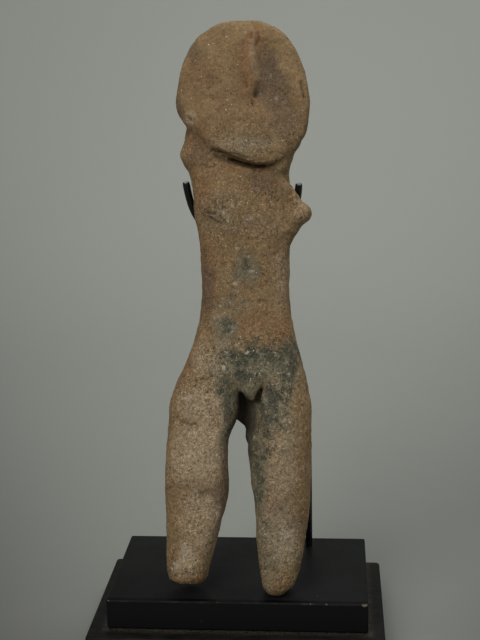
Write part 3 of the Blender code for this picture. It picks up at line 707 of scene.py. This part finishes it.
def clay_finish(settings):
    """Sandy fired clay with soot, red and scuffed patches, grit, pits, shining flecks, painted shade and
    highlights.
    """
    f = Finish("Fired clay", 0.85)
    f.shader.inputs["Specular IOR Level"].default_value = 0.22
    coarse = f.painted("coarse")
    broad, middling = f.clouds(12.0, 4.0), f.clouds(3.0, 5.0, 0.7)
    fine, speckle = f.clouds(1.3, 4.0, 0.75, (5, 5, 5)), f.clouds(0.62, 1.5, 0.6, (3, 6, 1))
    sand = f.clouds(0.36, 1.0, 0.6)
    colour = f.blend(f.span(broad, 0.38, 0.62), settings.tan, settings.brown)
    mottles = (
        (settings.brown, f.clouds(4.5, 4.0, 0.65, (4, 2, 9)), 0.46, 0.64, 0.55),
        (settings.ochre, f.clouds(1.4, 5.0, 0.75, (2, 7, 3)), 0.48, 0.68, 0.6),
        (settings.pink, f.clouds(1.7, 5.0, 0.75, (8, 3, 5)), 0.5, 0.68, 0.6),
    )
    for tone, clouds, low, high, most in mottles:
        colour = f.blend(f.span(clouds, low, high, 0.0, most), colour, tone)
    patches = (
        ("red", settings.red, f.span(fine, 0.36, 0.6, 0.45, 0.9)),
        ("violet", settings.violet, f.span(middling, 0.3, 0.6, 0.7, 1.0)),
        ("pale", settings.pale, f.span(f.clouds(1.1, 5.0, 0.75, (9, 4, 1)), 0.3, 0.56)),
        ("smoke", settings.smoke, f.span(f.clouds(2.2, 5.0, 0.7, (2, 2, 6)), 0.34, 0.56, 0.7, 0.98)),
    )
    for mask, tone, broken in patches:
        colour = f.blend(f.times(f.painted(mask), broken), colour, tone)
    colour = f.shade(colour, f.span(middling, 0.25, 0.75, 0.84, 1.16))

    # Each layer of grain swings the colour between darker and lighter, more where the clay is coarse
    spread = f.times(coarse, f.span(f.clouds(5.0, 3.0, 0.6, (1, 2, 8)), 0.35, 0.65, 0.7, 1.3))
    layers = ((fine, 0.22, 0.78, 0.54), (speckle, 0.2, 0.8, 0.42), (sand, 0.2, 0.8, 0.44))
    for layer, low, high, swing in layers:
        swung = f.times(f.span(layer, low, high, -swing, swing), spread)
        colour = f.shade(colour, f.plus(1.0, swung))
    pale_lines = f.times(f.span(f.streaks(0.3, (4, 4, 4)), 0.63, 0.74), coarse)
    colour = f.blend(f.times(pale_lines, 0.34), colour, settings.grit)
    dark_lines = f.times(f.span(f.streaks(0.36, (7, 1, 9)), 0.65, 0.75), coarse)
    colour = f.blend(f.times(dark_lines, 0.42), colour, settings.pit)

    # Soot breaks up into blotches at its edges
    blotches = f.span(f.clouds(3.4, 4.0, 0.65, (3, 8, 2), 1.5, 60.0), 0.2, 0.8, -0.9, 0.9)
    dabs = f.span(f.clouds(0.95, 4.0, 0.8, (6, 1, 2)), 0.25, 0.75, -0.75, 0.75)
    sooty = f.plus(f.painted("soot"), f.plus(blotches, dabs))
    sooted = f.times(f.span(sooty, 0.0, 1.15), f.span(f.painted("soot"), 0.05, 0.4))
    soot_tone = f.shade(settings.soot, f.span(speckle, 0.2, 0.8, 0.45, 1.65))
    soot_tone = f.shade(soot_tone, f.span(middling, 0.3, 0.7, 0.7, 1.35))
    colour = f.blend(f.times(sooted, 0.9), colour, soot_tone)
    salt = f.times(f.span(f.clouds(0.5, 2.0, 0.7, (8, 8, 1)), 0.6, 0.72), f.painted("grit"))
    colour = f.blend(f.times(salt, 0.4), colour, settings.grit)
    # Soot and painted shade deep in the hollow between the legs
    colour = f.blend(f.times(f.painted("hollow"), 0.85), colour, settings.hollow)
    chalky = f.times(f.painted("chalk"), f.span(fine, 0.28, 0.52, 0.3, 1.0))
    colour = f.blend(chalky, colour, settings.grit)

    # Pale grains and flecks stay out of the hollow's soot and painted shade
    bright = f.minus(1.0, f.painted("hollow"))
    rarity = f.minus(0.992, f.times(f.painted("grit"), 0.3))
    is_grit, tone = f.spots(0.85, rarity, 0.42, 0.15, wobble=0.7)
    is_grit = f.times(is_grit, bright)
    colour = f.blend(f.times(is_grit, f.span(tone, 0.0, 1.0, 0.15, 0.9)), colour, settings.grit)

    is_pit, tone = f.spots(1.3, 0.9, 0.34, 0.12, (5, 2, 7), 0.7)
    colour = f.blend(f.times(is_pit, f.span(tone, 0.0, 1.0, 0.25, 0.85)), colour, settings.pit)
    # Soil and painted shade in the pressed creases
    crease_soiled_and_shaded = f.times(f.painted("crease_soil_and_shade"), f.span(fine, 0.3, 0.6, 0.65, 1.0))
    colour = f.blend(crease_soiled_and_shaded, colour, settings.pit)

    is_fleck, tone = f.spots(0.55, 0.9965, 0.42, 0.25, (1, 9, 3))
    is_fleck = f.times(is_fleck, bright)
    colour = f.blend(f.times(is_fleck, f.span(tone, 0.0, 1.0, 0.4, 1.0)), colour, settings.fleck)
    f.colour(colour)
    f.roughness(f.span(is_fleck, 0.0, 1.0, 0.86, 0.35))

    height = f.plus(f.times(fine, 0.9), f.times(speckle, 0.6))
    height = f.times(f.minus(height, dark_lines), coarse)
    height = f.minus(height, f.times(is_pit, 0.8))
    f.bump(f.plus(height, f.times(is_grit, 0.3)), 0.8, 0.32)
    return f.material


class FIGURINE_OT_clay_figure(bpy.types.Operator):
    """Models the clay figure's skin over its packed solid"""
    bl_idname = "figurine.clay_figure"
    bl_label = "Clay figure"

    def execute(self, context):
        settings = context.scene.figurine_clay
        skin = skinned_clay(settings)
        tree = BVHTree.FromPolygons([v.co for v in skin.vertices], [p.vertices[:] for p in skin.polygons])
        smooth_joins(skin)
        crease_soil_and_shade = np.zeros(len(skin.vertices))
        pits = [(((across, height), (across + 0.1, height)), reach, depth)
                for across, height, reach, depth in PITS]
        for route, reach, depth, *soft in (*PRESSED.values(), *pits):
            line = [on_front(tree, across, height) for across, height in route]
            crease_soil_and_shade = np.maximum(crease_soil_and_shade, press(skin, line, reach, depth, soft))
        paint(skin, "crease_soil_and_shade", crease_soil_and_shade)
        for middle, facing, reach in BREAKS.values():
            break_off(skin, middle, facing, reach)
        paint_masks(skin)
        roughen(skin, settings)
        skin.transform(TO_ROW)
        skin.shade_smooth()
        skin.materials.clear()
        skin.materials.append(clay_finish(settings))
        figure = new_piece("clay_figure", skin)
        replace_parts(figure, "figurine")
        return {"FINISHED"}


# The stand

def eased_block(low, high, corner, edge):
    """A block with rounded upright corners and eased level edges, as a bmesh."""
    size, middle = high - low, (low + high) / 2
    bm = bmesh.new()
    bmesh.ops.create_cube(bm, size=1.0, matrix=Matrix.Translation(middle) @ Matrix.Diagonal((*size, 1.0)))
    for upright, offset, segments in ((True, corner, 8), (False, edge, 5)):
        chosen = [e for e in bm.edges if (abs(e.verts[0].co.z - e.verts[1].co.z) > size.z / 2) == upright]
        bmesh.ops.bevel(bm, geom=chosen, offset=offset, segments=segments, profile=0.5, affect="EDGES",
                        material=-1)
    return bm


def stand_block(name, node, mesh):
    """One block of the stand in place of its packed solid."""
    mesh.shade_smooth()
    mesh.set_sharp_from_angle(angle=math.radians(40))
    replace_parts(new_piece(name, mesh), node)


def chipped(mesh, low, high, chip):
    """The block with small chips knocked out of its front edge; their faces use the second material."""
    bm = bmesh.new()
    for along, size in CHIPS:
        middle = (low.x + along * (high.x - low.x), low.y + CHIP_INSET * chip, high.z - CHIP_INSET * chip)
        place = (Matrix.Translation(middle) @ Matrix.Rotation(CHIP_TURN * along, 4, "X")
                 @ Matrix.Diagonal((*CHIP_SHAPE, 1.0)))
        bmesh.ops.create_icosphere(bm, subdivisions=1, radius=size * chip, matrix=place)
    for face in bm.faces:
        face.material_index = 1
    return carved(mesh, mesh_of(bm, "chips"))


def lacquer_finish(settings, low, high):
    """Satin black lacquer: front edge rubbed bare and painted as a highlight, a painted dark reflection
    behind it, paler specks.
    """
    f = Finish("Black lacquer", 0.42)
    lower, upper = low / MM, high / MM
    _, y, z = f.apart.outputs
    # The thin broken line along the front top edge is wear and a painted highlight together
    near_top = f.span(z, upper.z - 0.75, upper.z - 0.45)
    near_front = f.span(y, lower.y + 0.6, lower.y + 0.3)
    line = f.times(near_top, near_front)
    rubbed = f.span(f.clouds(1.1, 5.0, 0.8, longer=5.0), 0.5, 0.66, 0.05, 1.0)
    worn_and_highlit = f.times(line, rubbed)
    # Darker strip just behind the front edge: a painted dark reflection of the rounded edge
    strip = f.times(f.span(y, lower.y + 2.8, lower.y + 1.8), f.span(y, lower.y + 0.45, lower.y + 0.75))
    speck, tone = f.spots(2.6, 0.985, 0.15, 0.08, (2, 6, 4), 0.3)
    colour = f.shade(settings.lacquer, f.span(strip, 0.0, 1.0, 1.0, 0.25))
    colour = f.blend(f.times(worn_and_highlit, 0.14), colour, settings.bare)
    colour = f.blend(f.times(speck, f.span(tone, 0.0, 1.0, 0.2, 0.9)), colour, settings.dust)
    f.colour(colour)
    f.shader.inputs["Specular IOR Level"].default_value = 0.04
    smears = f.clouds(14.0, 3.0, 0.6)
    f.roughness(f.span(smears, 0.3, 0.7, 0.38, 0.5))
    f.bump(f.plus(f.clouds(5.0, 2.0), f.clouds(0.5, 2.0)), 0.12, 0.05)
    return f.material


def bare_finish(settings):
    """Bare wood in the chips."""
    f = Finish("Bare wood", 0.8)
    f.colour(f.shade(settings.bare, f.span(f.clouds(0.5, 3.0), 0.3, 0.7, 0.25, 0.8)))
    return f.material


def stain_finish(settings, low, high):
    """Dark stained wood with a dusty strip along the foot of the upper block."""
    f = Finish("Stained wood", 0.6)
    lower, upper = low / MM, high / MM
    middle, half = (lower + upper) / 2, (upper - lower) / 2
    x, y, z = f.apart.outputs
    out = [f.minus(f.calc("ABSOLUTE", f.minus(at, middle[axis])), half[axis])
           for axis, at in enumerate((x, y))]
    outside = f.calc("MAXIMUM", *out)
    grain = f.clouds(0.9, 5.0, 0.7, longer=14.0)
    colour = f.shade(settings.stain, f.span(grain, 0.3, 0.7, 0.6, 1.7))
    strip = f.times(f.span(outside, 3.4, 0.2), f.span(f.clouds(0.8, 5.0, 0.85), 0.38, 0.62))
    film = f.times(f.span(f.clouds(4.0, 5.0, 0.7, (4, 1, 1), 3.0), 0.35, 0.7), 0.09)
    near_top = f.span(z, upper.z - 15.0, upper.z - 12.5)
    dust = f.times(f.calc("ADD", f.times(strip, 0.55), film, clamp=True), near_top)
    f.colour(f.blend(dust, colour, settings.dust))
    f.shader.inputs["Specular IOR Level"].default_value = 0.085
    f.roughness(f.span(grain, 0.3, 0.7, 0.48, 0.66))
    f.bump(grain, 0.25, 0.08)
    return f.material


class FIGURINE_OT_lacquered_plate(bpy.types.Operator):
    """Models the upper block of the stand"""
    bl_idname = "figurine.lacquered_plate"
    bl_label = "Lacquered plate"

    def execute(self, context):
        settings = context.scene.figurine_stand
        low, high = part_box("base_plate")
        block = eased_block(low, high, settings.plate_corner, settings.plate_edge)
        plate = mesh_of(block, "lacquered_plate")
        plate.materials.append(lacquer_finish(settings, low, high))
        plate.materials.append(bare_finish(settings))
        plate = chipped(plate, low, high, settings.chip)
        stand_block("lacquered_plate", "base_plate", plate)
        return {"FINISHED"}


class FIGURINE_OT_wooden_plinth(bpy.types.Operator):
    """Models the lower block of the stand"""
    bl_idname = "figurine.wooden_plinth"
    bl_label = "Wooden plinth"

    def execute(self, context):
        settings = context.scene.figurine_stand
        block = eased_block(*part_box("base_plinth"), settings.plinth_corner, settings.plinth_edge)
        plinth = mesh_of(block, "wooden_plinth")
        plinth.materials.append(stain_finish(settings, *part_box("base_plate")))
        stand_block("wooden_plinth", "base_plinth", plinth)
        return {"FINISHED"}


# The bent rods

def rod_finish(settings):
    """Black paint with a faint orange peel."""
    f = Finish("Black paint", settings.gloss)
    f.colour(f.shade(settings.paint, f.span(f.clouds(3.0), 0.3, 0.7, 0.7, 1.5)))
    f.roughness(f.span(f.clouds(2.0, 4.0), 0.3, 0.7, settings.gloss - 0.05, settings.gloss + 0.12))
    f.bump(f.clouds(0.7, 2.0), 0.1, 0.05)
    return f.material


def braze(bm, radius):
    """A blob of braze around the upper end of the post."""
    top = max(vert.co.z for vert in bm.verts)
    end = [vert.co for vert in bm.verts if vert.co.z > top - 1.0 * MM]
    middle = sum(end, Vector()) / len(end)
    bmesh.ops.create_icosphere(bm, subdivisions=3, radius=1.0, matrix=Matrix.Translation(middle)
                               @ Matrix.Diagonal((radius, radius, 0.8 * radius, 1.0)))


def smooth_rod(name, node, settings, material):
    """A rod rounded off from its packed solid."""
    bm = node_copy(node)
    bmesh.ops.dissolve_limit(bm, angle_limit=math.radians(1.0), verts=bm.verts, edges=bm.edges)
    ends = [face for face in bm.faces if len(face.verts) > 8]
    bmesh.ops.inset_individual(bm, faces=ends, thickness=settings.end_land)
    if name == "post_rod":
        braze(bm, settings.braze)
    mesh = worked(mesh_of(bm, name), [("SUBSURF", {"levels": 2, "render_levels": 2})])
    mesh.shade_smooth()
    mesh.materials.append(material)
    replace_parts(new_piece(name, mesh), node)


class FIGURINE_OT_bent_rods(bpy.types.Operator):
    """Models the fork, the post and the braze that joins them"""
    bl_idname = "figurine.bent_rods"
    bl_label = "Bent rods"

    def execute(self, context):
        settings = context.scene.figurine_rods
        material = rod_finish(settings)
        smooth_rod("fork_rod", "support_fork", settings, material)
        smooth_rod("post_rod", "support_post", settings, material)
        return {"FINISHED"}


# The stage

# The sweep behind and below the object, in metres
SWEEP_HALF_WIDTH = 2.4
SWEEP_LENGTH = 3.6
SWEEP_FRONT = -1.4
SWEEP_FLOOR_END = 0.45
SWEEP_RADIUS = 0.45

# The camera that took the photograph, with its focal length in pixels of a frame this high
CAMERA_PLACE = Vector((0.03845, -0.42225, 0.2356))
CAMERA_FOCAL = 1152.0
CAMERA_PITCH = math.radians(14.15)
CAMERA_ROLL = math.radians(-1.34)
CAMERA_YAW = math.radians(-4.89)
FRAME_HEIGHT = 640
SENSOR = 36.0


def soft_light(name, place, target, size, strength, colour=(1.0, 1.0, 1.0)):
    """A square soft light that points at a target."""
    lamp = bpy.data.lights.new(name, "AREA")
    lamp.size = size
    lamp.energy = strength
    lamp.color = colour
    light = add_object(name, lamp)
    light.visible_camera = False
    aim = (Vector(target) - Vector(place)).to_track_quat("-Z", "Y")
    light.matrix_world = Matrix.Translation(place) @ aim.to_matrix().to_4x4()


def sweep_point(run):
    """Where a point of the sweep is after running this far back: floor, curve, then wall."""
    end, radius = SWEEP_FLOOR_END, SWEEP_RADIUS
    if run < end:
        return run, 0.0
    turn = (run - end) / radius
    if turn < math.pi / 2:
        return end + radius * math.sin(turn), radius * (1 - math.cos(turn))
    return end + radius, radius + run - end - radius * math.pi / 2


def pool_of_light(f):
    """The share of light on the sweep, which fades to the sides, to the front and to the top."""
    x, y, z = f.apart.outputs
    reach = f.calc("MAXIMUM", f.plus(f.times(y, 0.21), 93.0), 60.0)
    beside = f.calc("DIVIDE", f.plus(x, f.times(y, 0.0856)), reach)
    beside = f.calc("MAXIMUM", f.calc("MINIMUM", beside, 1.1), -1.1)
    along = f.calc("MAXIMUM", f.calc("MINIMUM", f.times(f.plus(y, z), MM), 1.1), 0.0)
    along = f.minus(along, 0.6)
    slope = f.minus(f.minus(0.104, f.times(beside, 0.101)), f.times(along, 0.28))
    bow = f.minus(f.times(along, 0.146), 0.092)
    light = f.plus(f.times(along, slope), f.times(f.times(beside, beside), bow))
    return f.plus(f.minus(light, f.times(beside, 0.018)), 0.763)


class FIGURINE_OT_stage(bpy.types.Operator):
    """Sets up the floor, the lights and the camera"""
    bl_idname = "figurine.stage"
    bl_label = "Stage"

    def execute(self, context):
        settings = context.scene.figurine_stage
        bm = bmesh.new()
        bmesh.ops.create_grid(bm, x_segments=2, y_segments=60, size=1.0)
        for vert in bm.verts:
            run = (vert.co.y + 1) / 2 * SWEEP_LENGTH + SWEEP_FRONT
            vert.co = (vert.co.x * SWEEP_HALF_WIDTH, *sweep_point(run))
        floor = add_object("floor", mesh_of(bm, "floor"))
        floor.data.shade_smooth()
        f = Finish("Backdrop", 0.9)
        near = f.blend(f.span(f.clouds(300.0, 2.0), 0.3, 0.7), settings.backdrop,
                       [0.98 * part for part in settings.backdrop])
        f.colour(f.shade(near, pool_of_light(f)))
        floor.data.materials.append(f.material)

        soft_light("key", (-0.48, -0.86, 0.98), (0.0, 0.0, 0.12), 0.7, settings.key, (1.0, 0.985, 0.96))
        soft_light("fill", (0.95, -0.7, 0.45), (0.0, 0.0, 0.12), 0.8, settings.fill, (0.96, 0.98, 1.0))
        soft_light("top", (-0.12, -0.22, 1.1), (0.0, 0.0, 0.15), 0.14, settings.top)
        soft_light("rim", (-0.08, 0.7, 0.72), (0.0, 0.0, 0.15), 0.3, settings.rim)
        soft_light("backdrop light", (0.4, 0.3, 1.1), (0.2, 0.95, 0.4), 0.5, settings.back)
        world = bpy.data.worlds.new("room")
        context.scene.world = world
        world.use_nodes = True
        sky = world.node_tree.nodes["Background"]
        sky.inputs["Color"].default_value = (0.97, 1.0, 0.98, 1.0)
        sky.inputs["Strength"].default_value = settings.room
        context.scene.view_settings.view_transform = "Standard"

        forward = Vector((math.sin(CAMERA_YAW) * math.cos(CAMERA_PITCH),
                          math.cos(CAMERA_YAW) * math.cos(CAMERA_PITCH), -math.sin(CAMERA_PITCH)))
        level = Vector((math.cos(CAMERA_YAW), -math.sin(CAMERA_YAW), 0.0))
        above = level.cross(forward)
        right = math.cos(CAMERA_ROLL) * level + math.sin(CAMERA_ROLL) * above
        up = -math.sin(CAMERA_ROLL) * level + math.cos(CAMERA_ROLL) * above
        lens = bpy.data.cameras.new("photo camera")
        lens.sensor_fit = "VERTICAL"
        lens.sensor_height = SENSOR
        lens.lens = CAMERA_FOCAL * SENSOR / FRAME_HEIGHT
        lens.clip_start = 0.01
        camera = add_object("photo camera", lens)
        turned = Matrix((right, up, -forward)).transposed().to_4x4()
        camera.matrix_world = Matrix.Translation(CAMERA_PLACE) @ turned
        context.scene.camera = camera
        return {"FINISHED"}


OPERATORS = (
    FIGURINE_OT_stage,
    FIGURINE_OT_wooden_plinth,
    FIGURINE_OT_lacquered_plate,
    FIGURINE_OT_bent_rods,
    FIGURINE_OT_clay_figure,
)
SETTINGS = {
    "figurine_clay": ClaySettings,
    "figurine_stand": StandSettings,
    "figurine_rods": RodSettings,
    "figurine_stage": StageSettings,
}


class FIGURINE_PT_pieces(bpy.types.Panel):
    """Lists the pieces and their settings"""
    bl_idname = "FIGURINE_PT_pieces"
    bl_label = "Clay figurine"
    bl_space_type = "VIEW_3D"
    bl_region_type = "UI"
    bl_category = "Figurine"

    def draw(self, context):
        for operator in OPERATORS:
            self.layout.operator(operator.bl_idname)
        for name, group in SETTINGS.items():
            box = self.layout.box()
            box.label(text=group.__doc__)
            for setting in group.__annotations__:
                box.prop(getattr(context.scene, name), setting)


def register():
    for group in SETTINGS.values():
        bpy.utils.register_class(group)
    for name, group in SETTINGS.items():
        setattr(bpy.types.Scene, name, PointerProperty(type=group))
    for operator in OPERATORS:
        bpy.utils.register_class(operator)
    bpy.utils.register_class(FIGURINE_PT_pieces)


def unregister():
    bpy.utils.unregister_class(FIGURINE_PT_pieces)
    for operator in reversed(OPERATORS):
        bpy.utils.unregister_class(operator)
    for name, group in SETTINGS.items():
        delattr(bpy.types.Scene, name)
        bpy.utils.unregister_class(group)


def main():
    """Builds every piece in order."""
    for thing in list(bpy.context.scene.objects):
        if thing.type in ("CAMERA", "LIGHT"):
            bpy.data.objects.remove(thing)
    register()
    for operator in OPERATORS:
        group, name = operator.bl_idname.split(".")
        getattr(getattr(bpy.ops, group), name)()


if __name__ == "__main__":
    main()
